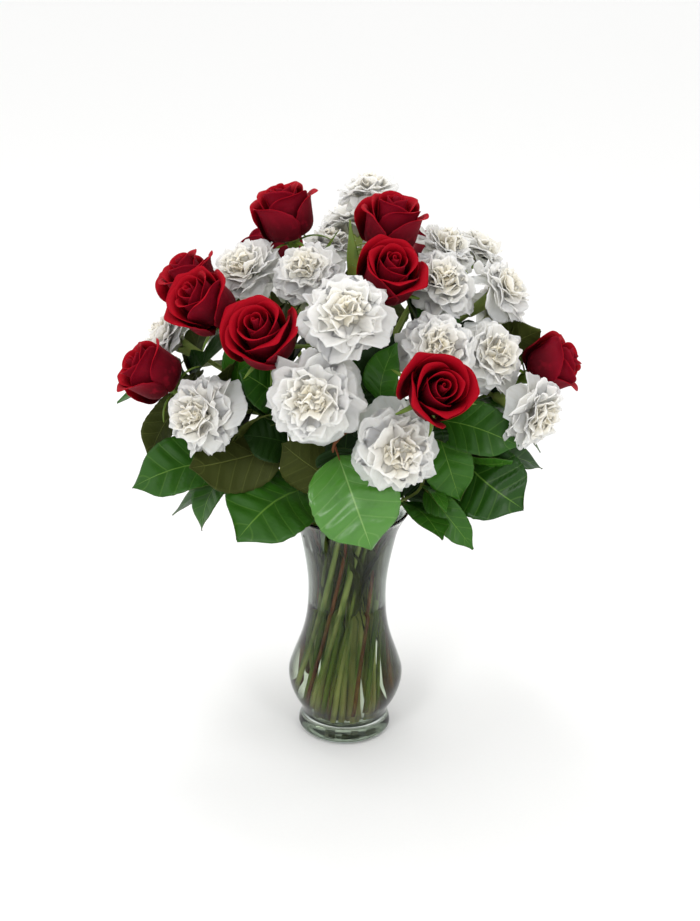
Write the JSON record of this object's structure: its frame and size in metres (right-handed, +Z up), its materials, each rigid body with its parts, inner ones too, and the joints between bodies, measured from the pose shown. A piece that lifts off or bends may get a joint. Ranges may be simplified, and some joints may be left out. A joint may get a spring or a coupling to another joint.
{
  "type": "carnations and roses in a glass vase",
  "caption": "Rounded bouquet of white carnations and red roses with broad green leaves, standing in a waisted clear glass vase of water.",
  "frame": {"origin": "middle of the vase's flat underside", "axes": "+Z up along the vase's axis, -Y towards the bouquet's front"},
  "size_m": [0.4003, 0.3632, 0.5139],
  "materials": {
    "vase_glass": "clear pressed glass, smooth and glossy",
    "water": null,
    "rose_petals": null,
    "carnation_petals": null,
    "flower_stems": null,
    "leafy_sprays": null
  },
  "bodies": {
    "root": {"flower_stems_01": "flower_stems", "flower_stems_02": "flower_stems", "flower_stems_03": "flower_stems", "flower_stems_04": "flower_stems", "flower_stems_05": "flower_stems", "flower_stems_06": "flower_stems", "flower_stems_07": "flower_stems", "flower_stems_08": "flower_stems", "flower_stems_09": "flower_stems", "flower_stems_10": "flower_stems", "flower_stems_11": "flower_stems", "flower_stems_12": "flower_stems", "flower_stems_13": "flower_stems", "flower_stems_14": "flower_stems", "flower_stems_15": "flower_stems", "flower_stems_16": "flower_stems", "leafy_spray_01": "leafy_sprays", "leafy_spray_02": "leafy_sprays", "leafy_spray_03": "leafy_sprays", "leafy_spray_04": "leafy_sprays", "leafy_spray_05": "leafy_sprays", "leafy_spray_06": "leafy_sprays", "leafy_spray_07": "leafy_sprays", "leafy_spray_08": "leafy_sprays", "leafy_spray_09": "leafy_sprays", "leafy_spray_10": "leafy_sprays", "rose_bloom_01": "rose_petals", "rose_bloom_02": "rose_petals", "rose_bloom_03": "rose_petals", "rose_bloom_04": "rose_petals", "rose_bloom_05": "rose_petals", "rose_bloom_06": "rose_petals", "rose_bloom_07": "rose_petals", "rose_bloom_08": "rose_petals", "rose_bloom_09": "rose_petals", "rose_bloom_10": "rose_petals", "rose_bloom_11": "rose_petals", "rose_bloom_12": "rose_petals", "carnation_bloom_01": "carnation_petals", "carnation_bloom_02": "carnation_petals", "carnation_bloom_03": "carnation_petals", "carnation_bloom_04": "carnation_petals", "carnation_bloom_05": "carnation_petals", "carnation_bloom_06": "carnation_petals", "carnation_bloom_07": "carnation_petals", "carnation_bloom_08": "carnation_petals", "carnation_bloom_09": "carnation_petals", "carnation_bloom_10": "carnation_petals", "carnation_bloom_11": "carnation_petals", "carnation_bloom_12": "carnation_petals", "carnation_bloom_13": "carnation_petals", "carnation_bloom_14": "carnation_petals", "carnation_bloom_15": "carnation_petals", "carnation_bloom_16": "carnation_petals", "carnation_bloom_17": "carnation_petals", "carnation_bloom_18": "carnation_petals", "carnation_bloom_19": "carnation_petals", "carnation_bloom_20": "carnation_petals", "vase": "vase_glass", "water": "water"}
  },
  "joints": []
}
